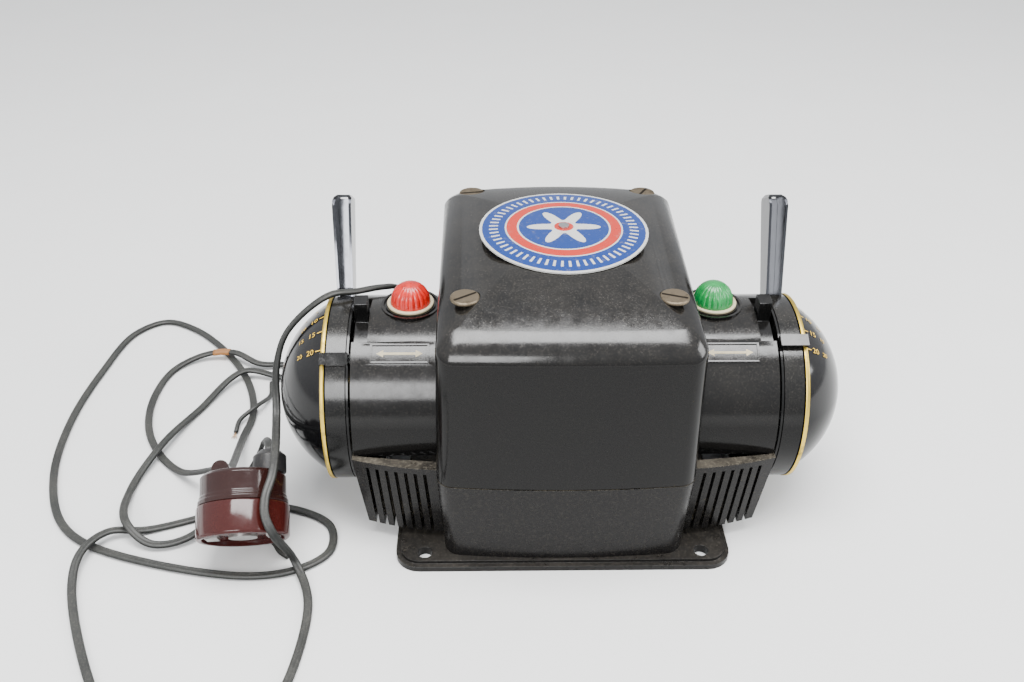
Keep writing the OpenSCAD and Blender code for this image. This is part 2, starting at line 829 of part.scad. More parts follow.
module outlet_contacts() {
    color([0.75, 0.75, 0.72]) at_outlet() {
        for (x = [-17, 17]) translate([x - 3.5, -5, -17.5]) cube([7, 10, 2]);
        translate([0, 0, -17.5]) cylinder(r = 8, h = 2);
    }
}
module rear_plug() {
    color([0.12, 0.12, 0.12]) at_outlet() translate([15, 0, 18.55]) {
        cylinder(r = 9.5, h = 10);
        translate([0, 0, 10]) cylinder(r1 = 9.5, r2 = 5, h = 4);
    }
}

// ---------------------------------------------------------------- cords

// Points that the cords follow: gland to outlet, outlet to plug, the single wire, and the short end.
main_route = [
    [-50, 100.4, 30], [-50, 108, 28.8], [-58, 121, 17], [-71, 127, 5], [-86, 113, 2.5], [-90, 92, 11],
    [-92, 72, 42], [-95, 52, 96], [-98, 38, 114], [-108, 25, 121.5], [-121, 14, 125], [-136, 7, 126.5],
    [-161, 1, 106], [-168.5, -6, 87], [-169, -20, 63], [-164, -57, 60], [-163.4, -72, 57], [-165.7, -83.5, 51.8],
    [-165.3, -91.5, 46], [-161, -97, 37], [-153.5, -88, 7.4], [-142.5, -116, 2], [-152, -190, 2], [-172, -212, 2],
    [-200, -215, 2], [-226, -196, 2], [-275, -104, 3], [-277, -78, 6.8], [-267, -62, 6.4], [-246, -56, 2.2],
    [-186, -36, 2], [-158, -40, 2], [-138, -54, 2], [-136, -75, 2], [-152, -89, 2], [-184, -94, 2],
    [-272, -71, 2], [-299, -50, 2], [-319, -6, 2], [-327, 50, 2], [-324, 110, 2], [-314, 162, 2],
    [-295, 178, 2], [-270, 167, 2], [-237, 132, 2], [-214, 92, 2], [-205, 57, 2], [-206, 31, 4],
    [-196.2, -38, 34], [-194.9, -48.7, 40]
];
loop_route = [
    [-199.9, -49.1, 40], [-203, -37, 33], [-239, -5, 4], [-257, 14, 2], [-272, 42, 2], [-278, 78, 2],
    [-272, 113, 2], [-252, 128, 5], [-231, 127, 7], [-211, 116, 4.5], [-190, 118, 2], [-177, 112, 2],
    [-189, 101, 2.5], [-219, 103, 7], [-243, 62, 2.5], [-256, 20, 7], [-266, -20, 3], [-257, -58, 10],
    [-240, -70, 4], [-219, -64, 4], [-196, -25, 10], [-186, -19, 24], [-178, -24, 43], [-173, -34, 50.5],
    [-170.3, -42.9, 52.3]
];
lead_route = [
    [-199, 95, 2], [-197, 80, 2], [-202, 61, 7], [-212, 49, 4], [-213, 38, 2]
];
stub_route = [
    [-181, -58, 2], [-176, -61.5, 2], [-169, -67.5, 2], [-164.5, -74.5, 2], [-159.2, -78.8, 2]
];

// Tube along a route, one ring at each point, with a level-keeping cross direction.
module tube(route, d, sides) {
    n = len(route);
    dir = [for (i = [0:n - 1]) let (v = route[min(i + 1, n - 1)] - route[max(i - 1, 0)]) v / norm(v)];
    across = [for (v = dir) let (w = cross(v, [0, 0, 1])) norm(w) > 0.05 ? w / norm(w) : [1, 0, 0]];
    rings = [for (i = [0:n - 1]) let (u = across[i], w = cross(u, dir[i]))
        [for (k = [0:sides - 1]) let (a = 360 * (k + 0.5) / sides)
            route[i] + d / 2 / cos(180 / sides) * 0.97 * (cos(a) * u + sin(a) * w)]];
    loft([for (ring = rings) ring]);
}

module cord_main() {
    color([0.16, 0.17, 0.16]) tube(main_route, cord_d, 8);
}
module cord_loop() {
    color([0.16, 0.17, 0.16]) tube(loop_route, cord_d, 8);
}
module cord_lead() {
    color([0.16, 0.17, 0.16]) tube(lead_route, 3, 8);
}
module cord_stub() {
    color([0.16, 0.17, 0.16]) tube(stub_route, cord_d, 8);
}

base_plate();
base_screws();
lower_housing();
cover();
cover_screws();
badge();
badge_rivet();
lamp_lens_red();
lamp_lens_green();
lamp_rings();
lamp_bulbs();
lamp_sockets();
core_laminations();
core_clamps();
core_bolts();
coil_left();
coil_right();
contact_boards();
inner_frames();
outer_brackets();
bushings();
spindles();
dome_left();
dome_right();
circuit_breaker();
terminal_board();
binding_posts();
thumb_nuts();
cord_gland();
rocker_springs();
handle_ring_left();
handle_left();
handle_rivets_left();
main_sleeve_left();
main_arm_left();
main_brush_left();
tab_disc_left();
tab_sleeve_left();
tab_arm_left();
tab_brush_left();
rocker_left();
handle_ring_right();
handle_right();
handle_rivets_right();
main_sleeve_right();
main_arm_right();
main_brush_right();
tab_disc_right();
tab_sleeve_right();
tab_arm_right();
tab_brush_right();
rocker_right();
cord_main();
cord_loop();
cord_lead();
cord_stub();
outlet_base();
outlet_cover();
outlet_contacts();
rear_plug();
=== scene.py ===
import json
import math

import bmesh
import bpy
from mathutils import Matrix, Vector

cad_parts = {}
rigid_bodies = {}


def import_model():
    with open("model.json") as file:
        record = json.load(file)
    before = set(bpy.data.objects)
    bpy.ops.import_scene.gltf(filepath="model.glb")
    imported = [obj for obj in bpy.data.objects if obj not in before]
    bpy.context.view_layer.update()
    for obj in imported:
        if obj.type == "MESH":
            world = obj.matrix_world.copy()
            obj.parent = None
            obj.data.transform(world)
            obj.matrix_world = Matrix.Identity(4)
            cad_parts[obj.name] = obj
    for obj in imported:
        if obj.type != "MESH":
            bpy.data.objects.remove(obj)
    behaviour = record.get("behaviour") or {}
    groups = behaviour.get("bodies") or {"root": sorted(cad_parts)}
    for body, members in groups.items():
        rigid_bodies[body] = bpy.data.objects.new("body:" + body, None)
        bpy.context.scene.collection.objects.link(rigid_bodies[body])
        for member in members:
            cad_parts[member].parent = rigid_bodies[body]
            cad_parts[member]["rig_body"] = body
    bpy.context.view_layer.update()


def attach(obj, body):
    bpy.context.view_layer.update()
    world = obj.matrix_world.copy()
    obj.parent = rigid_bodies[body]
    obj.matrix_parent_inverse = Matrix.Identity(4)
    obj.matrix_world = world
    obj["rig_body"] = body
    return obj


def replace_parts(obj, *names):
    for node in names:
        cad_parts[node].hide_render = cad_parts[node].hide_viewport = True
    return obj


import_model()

MM = 0.001

# ---------------------------------------------------------------- camera
# The viewer stands in front and looks down at 33 degrees, from 0.68 m away.
CAM_AT = (-0.0418, -0.5199, 0.4366)
YAW, PITCH, ROLL = math.radians(1.41), math.radians(33.0), math.radians(0.57)
forward = Vector((math.sin(YAW) * math.cos(PITCH), math.cos(YAW) * math.cos(PITCH), -math.sin(PITCH)))
level = Vector((math.cos(YAW), -math.sin(YAW), 0))
upward = level.cross(forward)
right = math.cos(ROLL) * level + math.sin(ROLL) * upward
above = -math.sin(ROLL) * level + math.cos(ROLL) * upward
camera_data = bpy.data.cameras.new("camera")
camera_data.lens = 36.69
camera_data.sensor_width = 36
camera = bpy.data.objects.new("camera", camera_data)
camera.matrix_world = Matrix.Translation(CAM_AT) @ Matrix((right, above, -forward)).transposed().to_4x4()
bpy.context.collection.objects.link(camera)
bpy.context.scene.camera = camera


# ---------------------------------------------------------------- cords
# Flat twin flex, 5 mm wide and 3.2 mm thick: two round conductors side by side in dull dark grey
# rubber. It lies flat on the bench, climbs the back and crosses the left drum and dome.
def add_mesh(name, verts, faces, material, body="body", smooth=True):
    """A new piece from points in metres, riding on a body."""
    data = bpy.data.meshes.new(name)
    data.from_pydata([tuple(v) for v in verts], [], faces)
    data.update()
    tidy = bmesh.new()
    tidy.from_mesh(data)
    bmesh.ops.recalc_face_normals(tidy, faces=tidy.faces)
    tidy.to_mesh(data)
    tidy.free()
    for face in data.polygons:
        face.use_smooth = smooth
    piece = bpy.data.objects.new(name, data)
    bpy.context.collection.objects.link(piece)
    data.materials.append(material)
    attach(piece, body)
    return piece


def nodes_of(name):
    """A new node material: its tree, its shader, and a short way to add a node."""
    material = bpy.data.materials.new(name)
    material.use_nodes = True
    tree = material.node_tree
    shader = tree.nodes["Principled BSDF"]

    def add(kind, **values):
        node = tree.nodes.new(kind)
        for key, value in values.items():
            if hasattr(node, key):
                setattr(node, key, value)
            else:
                node.inputs[key].default_value = value
        return node

    return material, tree, shader, add


def noise(tree, add, scale, detail=4.0, rough=0.6, stretch=(1, 1, 1)):
    """Noise in object space, with its scale per metre."""
    place = add("ShaderNodeTexCoord")
    mapping = add("ShaderNodeMapping")
    mapping.inputs["Scale"].default_value = stretch
    texture = add("ShaderNodeTexNoise", Scale=scale, Detail=detail, Roughness=rough)
    tree.links.new(place.outputs["Object"], mapping.inputs["Vector"])
    tree.links.new(mapping.outputs["Vector"], texture.inputs["Vector"])
    return texture.outputs["Fac"]


def span(tree, add, value, low, high, to_low=0.0, to_high=1.0):
    """A value mapped from one range to another, clamped."""
    node = add("ShaderNodeMapRange")
    node.inputs["From Min"].default_value = low
    node.inputs["From Max"].default_value = high
    node.inputs["To Min"].default_value = to_low
    node.inputs["To Max"].default_value = to_high
    tree.links.new(value, node.inputs["Value"])
    return node.outputs["Result"]


def maths(tree, add, operation, a, b=None):
    """One arithmetic node on sockets or numbers."""
    node = add("ShaderNodeMath", operation=operation)
    for index, value in enumerate((a, b)):
        if value is None:
            continue
        if isinstance(value, (int, float)):
            node.inputs[index].default_value = value
        else:
            tree.links.new(value, node.inputs[index])
    return node.outputs[0]


def tint(tree, add, factor, low, high):
    """A colour between two, by a factor. Either may be a colour or a socket."""
    node = add("ShaderNodeMix", data_type="RGBA")
    tree.links.new(factor, node.inputs["Factor"])
    for socket, value in ((node.inputs[6], low), (node.inputs[7], high)):
        if isinstance(value, tuple):
            socket.default_value = (*value, 1)
        else:
            tree.links.new(value, socket)
    return node.outputs[2]


def bump(tree, add, shader, height, strength, distance):
    node = add("ShaderNodeBump", Strength=strength, Distance=distance)
    tree.links.new(height, node.inputs["Height"])
    tree.links.new(node.outputs["Normal"], shader.inputs["Normal"])


def worn_material(name, dark, dusty, rough, dust=1.0, grain=420.0, bumps=0.25, metal=0.0, speck=0.5):
    """Moulded or painted surface: clean colour below, dust and specks on what faces up."""
    material, tree, shader, add = nodes_of(name)
    normal = add("ShaderNodeNewGeometry").outputs["Normal"]
    split = add("ShaderNodeSeparateXYZ")
    tree.links.new(normal, split.inputs[0])
    facing = span(tree, add, split.outputs["Z"], 0.15, 0.95)
    broad = span(tree, add, noise(tree, add, 38, 6, 0.7), 0.35, 0.72)
    fine = span(tree, add, noise(tree, add, grain, 5, 0.75), 0.5, 0.72)
    film = maths(tree, add, "MULTIPLY", facing, maths(tree, add, "MULTIPLY", broad, dust))
    settled = maths(tree, add, "ADD", maths(tree, add, "MULTIPLY", facing, speck), 0.06)
    specks = maths(tree, add, "MULTIPLY", fine, settled)
    cover_by = add("ShaderNodeClamp")
    thin_film = maths(tree, add, "MULTIPLY", film, 0.45)
    tree.links.new(maths(tree, add, "ADD", thin_film, specks), cover_by.inputs[0])
    tree.links.new(tint(tree, add, cover_by.outputs[0], dark, dusty), shader.inputs["Base Color"])
    wear = noise(tree, add, 160, 4, 0.6)
    rubbing = span(tree, add, wear, 0.3, 0.7, rough - 0.05, rough + 0.08)
    sheen = maths(tree, add, "ADD", rubbing, maths(tree, add, "MULTIPLY", cover_by.outputs[0], 0.35))
    tree.links.new(sheen, shader.inputs["Roughness"])
    tree.links.new(span(tree, add, facing, 0.0, 0.6, 0.16, 0.6), shader.inputs["Specular IOR Level"])
    shader.inputs["Metallic"].default_value = metal
    bump(tree, add, shader, noise(tree, add, grain * 1.6, 3, 0.6), bumps, 0.00008)
    return material


def smooth_path(points, step):
    """Even points along a centripetal curve through the given ones, in metres."""
    p = [Vector(q) * MM for q in points]
    p = [2 * p[0] - p[1], *p, 2 * p[-1] - p[-2]]
    dense = []
    for a, b, c, d in zip(p, p[1:], p[2:], p[3:]):
        t = [0.0]
        for q, r in ((a, b), (b, c), (c, d)):
            t.append(t[-1] + max(1e-6, (r - q).length ** 0.5))
        for k in range(24):
            u = t[1] + (t[2] - t[1]) * k / 24
            a1 = a.lerp(b, (u - t[0]) / (t[1] - t[0]))
            a2 = b.lerp(c, (u - t[1]) / (t[2] - t[1]))
            a3 = c.lerp(d, (u - t[2]) / (t[3] - t[2]))
            b1 = a1.lerp(a2, (u - t[0]) / (t[2] - t[0]))
            b2 = a2.lerp(a3, (u - t[1]) / (t[3] - t[1]))
            dense.append(b1.lerp(b2, (u - t[1]) / (t[2] - t[1])))
    dense.append(p[-2])
    run = [0.0]
    for q, r in zip(dense, dense[1:]):
        run.append(run[-1] + (r - q).length)
    count = max(4, round(run[-1] / step))
    path, at = [], 0
    for k in range(count + 1):
        goal = run[-1] * k / count
        while at < len(run) - 2 and run[at + 1] < goal:
            at += 1
        path.append(dense[at].lerp(dense[at + 1], (goal - run[at]) / max(1e-9, run[at + 1] - run[at])))
    return path, run[-1]


def sweep(name, path, section, material, low=0.00015):
    """A section carried along a path, kept level, with its ends closed and nothing below the bench."""
    verts, faces, across = [], [], None
    for k, point in enumerate(path):
        ahead = (path[min(k + 1, len(path) - 1)] - path[max(k - 1, 0)]).normalized()
        wanted = ahead.cross(Vector((0, 0, 1)))
        weight = wanted.length
        across = wanted.normalized() if across is None else across - ahead * across.dot(ahead)
        if weight > 0.1:
            wanted.normalize()
            if wanted.dot(across) < 0:
                wanted.negate()
            across = across.lerp(wanted, 0.3 * weight)
        across.normalize()
        lift = across.cross(ahead)
        for a, b in section:
            v = point + across * a + lift * b
            v.z = max(v.z, low)
            verts.append(v)
    n = len(section)
    for k in range(len(path) - 1):
        for i in range(n):
            j = (i + 1) % n
            faces.append((k * n + i, k * n + j, (k + 1) * n + j, (k + 1) * n + i))
    faces.append(tuple(range(n)))
    faces.append(tuple(range(len(verts) - n, len(verts))))
    return add_mesh(name, verts, faces, material)


def twin_section(width, thick, steps=20):
    """Outline of flat twin flex: two round lobes with a shallow groove between them."""
    points = []
    for k in range(steps):
        a = 2 * math.pi * k / steps
        x = math.cos(a) * width / 2
        groove = 1 - 0.42 * math.exp(-((x / (width * 0.13)) ** 2))
        points.append((x, math.copysign(abs(math.sin(a)) ** 0.75, math.sin(a)) * thick / 2 * groove))
    return points


def round_section(radius, steps=12):
    turns = [2 * math.pi * k / steps for k in range(steps)]
    return [(radius * math.cos(a), radius * math.sin(a)) for a in turns]


# Points that the cords follow, in millimetres: gland to outlet, outlet to plug, single wire, short end.
MAIN_ROUTE = [
    (-50, 100.4, 30), (-50, 108, 28.8), (-58, 121, 17), (-71, 127, 5), (-86, 113, 2.5),
    (-90, 92, 11), (-92, 72, 42), (-95, 52, 96), (-98, 38, 114), (-108, 25, 121.5),
    (-121, 14, 125), (-136, 7, 126.5), (-161, 1, 106), (-168.5, -6, 87), (-169, -20, 63),
    (-164, -57, 60), (-163.4, -72, 57), (-165.7, -83.5, 51.8), (-165.3, -91.5, 46), (-161, -97, 37),
    (-153.5, -88, 7.4), (-142.5, -116, 2), (-152, -190, 2), (-172, -212, 2), (-200, -215, 2),
    (-226, -196, 2), (-275, -104, 3), (-277, -78, 6.8), (-267, -62, 6.4), (-246, -56, 2.2),
    (-186, -36, 2), (-158, -40, 2), (-138, -54, 2), (-136, -75, 2), (-152, -89, 2),
    (-184, -94, 2), (-272, -71, 2), (-299, -50, 2), (-319, -6, 2), (-327, 50, 2),
    (-324, 110, 2), (-314, 162, 2), (-295, 178, 2), (-270, 167, 2), (-237, 132, 2),
    (-214, 92, 2), (-205, 57, 2), (-206, 31, 4), (-196.2, -38, 34), (-194.9, -48.7, 40),
]

LOOP_ROUTE = [
    (-199.9, -49.1, 40), (-203, -37, 33), (-239, -5, 4), (-257, 14, 2), (-272, 42, 2), (-278, 78, 2),
    (-272, 113, 2), (-252, 128, 5), (-231, 127, 7), (-211, 116, 4.5), (-190, 118, 2), (-177, 112, 2),
    (-189, 101, 2.5), (-219, 103, 7), (-243, 62, 2.5), (-256, 20, 7), (-266, -20, 3), (-257, -58, 10),
    (-240, -70, 4), (-219, -64, 4), (-196, -25, 10), (-186, -19, 24), (-178, -24, 43), (-173, -34, 50.5),
    (-170.3, -42.9, 52.3),
]

LEAD_ROUTE = [
    (-199, 95, 2), (-197, 80, 2), (-202, 61, 7), (-212, 49, 4), (-213, 38, 2),
]

STUB_ROUTE = [
    (-181, -58, 2), (-176, -61.5, 2), (-169, -67.5, 2), (-164.5, -74.5, 2), (-159.2, -78.8, 2),
]

CORD_W, CORD_T = 5.0 * MM, 3.2 * MM
rubber = worn_material("cord rubber", (0.014, 0.015, 0.014), (0.12, 0.115, 0.10), 0.45, 0.5, 900, 0.35)
main_path, main_length = smooth_path(MAIN_ROUTE, 2.5 * MM)
cord_main_piece = sweep("flex_main", main_path, twin_section(CORD_W, CORD_T), rubber)
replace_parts(cord_main_piece, "cord_main")
loop_path, loop_length = smooth_path(LOOP_ROUTE, 2.5 * MM)
cord_loop_piece = sweep("flex_loop", loop_path, twin_section(CORD_W, CORD_T), rubber)
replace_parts(cord_loop_piece, "cord_loop")
lead_path, lead_length = smooth_path(LEAD_ROUTE, 1.5 * MM)
cord_lead_piece = sweep("single_wire", lead_path, round_section(1.5 * MM), rubber)
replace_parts(cord_lead_piece, "cord_lead")
stub_path, stub_length = smooth_path(STUB_ROUTE, 1.5 * MM)
cord_stub_piece = sweep("flex_end", stub_path, round_section(2 * MM), rubber)
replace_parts(cord_stub_piece, "cord_stub")

# ---------------------------------------------------------------- tape and bare strands
# The flex at the plug has a short sleeve of orange-brown tape. The single wire ends in bare strands.
tape_look = worn_material("cloth tape", (0.30, 0.13, 0.04), (0.22, 0.14, 0.08), 0.6, 0.5, 900, 0.5)
taped = [p for p in loop_path if -249 * MM < p.x < -234 * MM and p.y > 120 * MM]
sweep("tape_sleeve", taped, twin_section(CORD_W * 1.12, CORD_T * 1.25), tape_look)


def metal_material(name, colour, stain, rough, stretch=(1, 1, 1), stains=0.6):
    """Bare metal with directional rubbing and stains."""
    material, tree, shader, add = nodes_of(name)
    lines = noise(tree, add, 900, 3, 0.6, stretch)
    spots = span(tree, add, noise(tree, add, 110, 6, 0.7), 0.52, 0.75, 0, stains)
    tree.links.new(tint(tree, add, spots, colour, stain), shader.inputs["Base Color"])
    tree.links.new(
        maths(tree, add, "ADD", span(tree, add, lines, 0.3, 0.7, rough - 0.06, rough + 0.1),
              maths(tree, add, "MULTIPLY", spots, 0.3)),
        shader.inputs["Roughness"])
    shader.inputs["Metallic"].default_value = 1.0
    bump(tree, add, shader, lines, 0.15, 0.00005)
    return material


strand_look = metal_material("bare strands", (0.60, 0.42, 0.28), (0.30, 0.22, 0.16), 0.35)
wire_end = lead_path[-1]
ahead = (wire_end - lead_path[-3]).normalized()
for k, aside in enumerate((-1.6, -0.4, 0.7, 1.8)):
    spread = ahead.cross(Vector((0, 0, 1))) * aside * MM
    fan_out = wire_end + ahead * 2 * MM + spread * 0.4
    tip = wire_end + ahead * 5.5 * MM + spread
    strand = [wire_end - ahead * MM, fan_out, tip]
    sweep("bare_strand_%d" % k, strand, round_section(0.25 * MM, 6), strand_look)

# ---------------------------------------------------------------- cover
# Black phenolic shell, moulded in one piece with both drums and held by four screws. Its edges are
# rounded by 0.8 mm. It is glossy, with fine grey-brown dust on what faces up.
def dressed(node, look, bevel=0.0, angle=32):
    """A copy of a node with welded, rounded and smoothed edges, which stands in for that node."""
    source = bpy.data.objects[node]
    data = source.data.copy()
    work = bmesh.new()
    work.from_mesh(data)
    bmesh.ops.remove_doubles(work, verts=work.verts, dist=1e-6)
    bmesh.ops.dissolve_degenerate(work, edges=work.edges, dist=1e-6)
    bmesh.ops.dissolve_limit(work, angle_limit=math.radians(0.2), verts=work.verts, edges=work.edges)
    for edge in work.edges:
        edge.smooth = edge.is_manifold and edge.calc_face_angle(0) < math.radians(angle)
    for face in work.faces:
        face.smooth = True
    work.to_mesh(data)
    work.free()
    data.materials.clear()
    data.materials.append(look)
    piece = bpy.data.objects.new(node + "_finish", data)
    piece.matrix_world = source.matrix_world
    bpy.context.collection.objects.link(piece)
    if bevel:
        cut = piece.modifiers.new("edge", "BEVEL")
        cut.width = bevel * MM
        cut.segments = 2
        cut.limit_method = "ANGLE"
        cut.angle_limit = math.radians(angle)
        cut.use_clamp_overlap = True
        cut.miter_outer = "MITER_ARC"
        bpy.context.view_layer.update()
        rounded = bpy.data.meshes.new_from_object(piece.evaluated_get(bpy.context.evaluated_depsgraph_get()))
        piece.modifiers.clear()
        piece.data = rounded
    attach(piece, source["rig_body"])
    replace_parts(piece, node)
    return piece


def paint(node, look):
    """A finish on a CAD node that keeps its own shape."""
    thing = bpy.data.objects[node]
    if not thing.material_slots:
        thing.data.materials.append(look)
    for entry in thing.material_slots:
        entry.material = look


bakelite = worn_material(
    "black bakelite", (0.0045, 0.0043, 0.0042), (0.085, 0.074, 0.060),
    0.13, 0.3, 900, 0.2, 0.0, 0.3)
dressed("cover", bakelite, 0.8)

# ---------------------------------------------------------------- base plate and lower housing
# Pressed plate in dusty black enamel, screwed down at its corners, under the lower half of the
# moulding, which is dusty on its ledge and side boxes.
plate_paint = worn_material(
    "base enamel", (0.008, 0.0075, 0.007), (0.12, 0.105, 0.085),
    0.28, 0.4, 700, 0.4, 0.0, 0.3)
dressed("base_plate", plate_paint, 0.6)
lower_black = worn_material("lower bakelite", (0.006, 0.0055, 0.0055), (0.24, 0.21, 0.16), 0.24, 0.8, 600)
dressed("lower_housing", lower_black, 0.7)
plate_steel = metal_material("plate screw steel", (0.30, 0.28, 0.25), (0.12, 0.09, 0.06), 0.45)
paint("base_screws", plate_steel)

# ---------------------------------------------------------------- transformer and inner frames
# Stacked steel core with two varnished windings, clamped and bolted inside the housing. It isn't seen.
core_iron = metal_material("core steel", (0.30, 0.28, 0.26), (0.12, 0.08, 0.05), 0.5, (0.2, 6, 0.2))
winding = worn_material("winding", (0.24, 0.10, 0.03), (0.35, 0.18, 0.08), 0.35, 0.3, 800)
inner_steel = metal_material("inner steel", (0.45, 0.45, 0.46), (0.18, 0.15, 0.12), 0.4)
paint("core_laminations", core_iron)
for node in ("coil_left", "coil_right"):
    paint(node, winding)
for node in ("core_clamps", "core_bolts", "inner_frames", "outer_brackets", "spindles", "rocker_springs"):
    paint(node, inner_steel)

# ---------------------------------------------------------------- contact parts and terminals
# Brown fibre boards, turned brass bushings and arms, carbon brushes and the brass binding posts behind.
board = worn_material("fibre board", (0.30, 0.15, 0.06), (0.42, 0.26, 0.13), 0.5, 0.4, 700)
brass = metal_material("brass", (0.62, 0.47, 0.20), (0.22, 0.14, 0.06), 0.32)
carbon = worn_material("carbon", (0.02, 0.02, 0.02), (0.08, 0.08, 0.08), 0.6, 0.2, 900)
breaker_black = worn_material("breaker moulding", (0.012, 0.012, 0.012), (0.12, 0.10, 0.08), 0.35, 0.4, 500)
for node in ("contact_boards", "terminal_board"):
    paint(node, board)
for node in ("bushings", "binding_posts", "lamp_sockets"):
    paint(node, brass)
dressed("thumb_nuts", brass, 0.3)
paint("circuit_breaker", breaker_black)
for side in ("left", "right"):
    for part in ("main_sleeve_", "tab_sleeve_", "main_arm_", "tab_arm_"):
        paint(part + side, brass)
    for part in ("main_brush_", "tab_brush_"):
        paint(part + side, carbon)
    paint("handle_rivets_" + side, inner_steel)

# ---------------------------------------------------------------- domes
# Glossy black end caps of the drums, fixed to the spindles. Each carries a scale of numbers in
# yellow paint, 5 to 20, that reads from the front, with a short stroke beside every number.
dome_black = worn_material(
    "dome bakelite", (0.004, 0.004, 0.0045), (0.06, 0.052, 0.042),
    0.1, 0.15, 900, 0.12, 0.0, 0.2)
scale_paint, tree, shader, add = nodes_of("scale paint")
tree.links.new(
    tint(tree, add, span(tree, add, noise(tree, add, 700, 4, 0.7), 0.5, 0.75, 0, 0.7),
         (0.80, 0.50, 0.05), (0.24, 0.16, 0.05)),
    shader.inputs["Base Color"])
shader.inputs["Roughness"].default_value = 0.45
DOME_AT, DOME_R, AXIS_Y, AXIS_Z = 108.4, 59.1, -3, 69
SCALE_STEPS = ((58, "20"), (72, "15"), (86, "10"), (100, "5"))
INNER_DIGIT, INNER_X = 4.6, 143.6
OUTER_DIGIT, OUTER_X = 3.6, 150.5
STROKE, STROKE_X = [(-1.7, -0.3), (1.7, -0.3), (1.7, 0.3), (-1.7, 0.3)], 138.6


def on_dome(side, x, turn, lift=0.12):
    """A point on a dome: x out from the middle, turned in degrees up from the front, in metres."""
    r = math.sqrt(DOME_R ** 2 - (x - DOME_AT) ** 2) + lift
    a = math.radians(turn)
    return Vector((side * x, AXIS_Y - r * math.cos(a), AXIS_Z + r * math.sin(a))) * MM


def dome_mark(name, side, x, turn, outline, faces):
    """Flat paint laid on a dome. Outline points are millimetres along X and up the curve."""
    verts = []
    for u, v in outline:
        out = x + side * u
        r = math.sqrt(DOME_R ** 2 - (out - DOME_AT) ** 2)
        verts.append(on_dome(side, out, turn + math.degrees(v / r)))
    return add_mesh(name, verts, faces, scale_paint, smooth=False)


def digits(text, size):
    """Outline and faces of a number, centred, in millimetres."""
    curve = bpy.data.curves.new("digits", "FONT")
    curve.body = text
    curve.size = size
    curve.align_x, curve.align_y = "CENTER", "CENTER"
    curve.resolution_u = 3
    holder = bpy.data.objects.new("digits", curve)
    bpy.context.collection.objects.link(holder)
    bpy.context.view_layer.update()
    data = bpy.data.meshes.new_from_object(holder.evaluated_get(bpy.context.evaluated_depsgraph_get()))
    outline, faces = [(v.co.x, v.co.y) for v in data.vertices], [tuple(f.vertices) for f in data.polygons]
    bpy.data.objects.remove(holder)
    return outline, faces


for tag, side in (("left", -1), ("right", 1)):
    dressed("dome_" + tag, dome_black, 0.4)
    for turn, text in SCALE_STEPS:
        outline, faces = digits(text, INNER_DIGIT)
        dome_mark("scale_" + tag + "_" + text, side, INNER_X, turn, outline, faces)
        outline, faces = digits(text, OUTER_DIGIT)
        dome_mark("outer_scale_" + tag + "_" + text, side, OUTER_X, turn, outline, faces)
        dome_mark("stroke_" + tag + "_" + text, side, STROKE_X, turn, STROKE, [(0, 1, 2, 3)])

# ---------------------------------------------------------------- turning rings and tall handles
# A black ring turns on each drum. Its handle is a bent channel of polished steel, with painted reflection.
ring_black = worn_material(
    "ring bakelite", (0.0045, 0.0045, 0.0045), (0.10, 0.09, 0.075),
    0.14, 0.4, 900, 0.2, 0.0, 0.3)
steel, tree, shader, add = nodes_of("handle steel")
own_normal = add("ShaderNodeSeparateXYZ")
tree.links.new(add("ShaderNodeTexCoord").outputs["Normal"], own_normal.inputs[0])
# Painted reflection: faces whose normal lies along Y take the lighter tone, edges and all other faces the dark
# tone.
painted_reflection_mask = span(tree, add, maths(tree, add, "ABSOLUTE", own_normal.outputs["Y"]), 0.6, 0.95)
PAINTED_DARK_EDGE_TONE, PAINTED_LIT_FACE_TONE = (0.025, 0.026, 0.03), (0.16, 0.165, 0.18)
tree.links.new(tint(tree, add, painted_reflection_mask, PAINTED_DARK_EDGE_TONE, PAINTED_LIT_FACE_TONE), shader.inputs["Base Color"])
brushed = noise(tree, add, 300, 4, 0.6, (1, 1, 0.15))
tree.links.new(span(tree, add, brushed, 0.3, 0.7, 0.08, 0.2), shader.inputs["Roughness"])
shader.inputs["Metallic"].default_value = 1.0
for side in ("left", "right"):
    dressed("handle_ring_" + side, ring_black, 0.5)
    dressed("handle_" + side, steel, 0.25)

# ---------------------------------------------------------------- tab discs and rockers
# Thin black discs with a flat tab, between the drum and the ring, and the small spring-back rocker.
tab_black = worn_material(
    "tab bakelite", (0.004, 0.004, 0.004), (0.05, 0.045, 0.04),
    0.12, 0.2, 900, 0.15, 0.0, 0.2)
for side in ("left", "right"):
    dressed("tab_disc_" + side, tab_black, 0.3)
    dressed("rocker_" + side, tab_black, 0.5)

# ---------------------------------------------------------------- drum labels
# Each drum has a raised plate with a border. A cream double arrow is painted along it.
label_cream = worn_material("label paint", (0.50, 0.42, 0.26), (0.22, 0.17, 0.10), 0.45, 0.6, 700)
LABEL_X, LABEL_TURN, LABEL_R, PAINT_R = 92.5, 54, 55.5, 55.52
ARROW = [(-13, 0), (-9, 2.1), (-9, 0.7), (9, 0.7), (9, 2.1), (13, 0), (9, -2.1), (9, -0.7), (-9, -0.7),
         (-9, -2.1)]
for tag, side in (("left", -1), ("right", 1)):
    verts = []
    for u, v in ARROW:
        turn = math.radians(LABEL_TURN + math.degrees(v / LABEL_R))
        at = (side * LABEL_X + u, AXIS_Y - PAINT_R * math.cos(turn), AXIS_Z + PAINT_R * math.sin(turn))
        verts.append(Vector(at) * MM)
    ends = [(0, 1, 9), (5, 6, 4), (1, 2, 8, 9), (4, 6, 7, 3), (2, 3, 7, 8)]
    add_mesh("label_arrow_" + tag, verts, ends, label_cream, smooth=False)
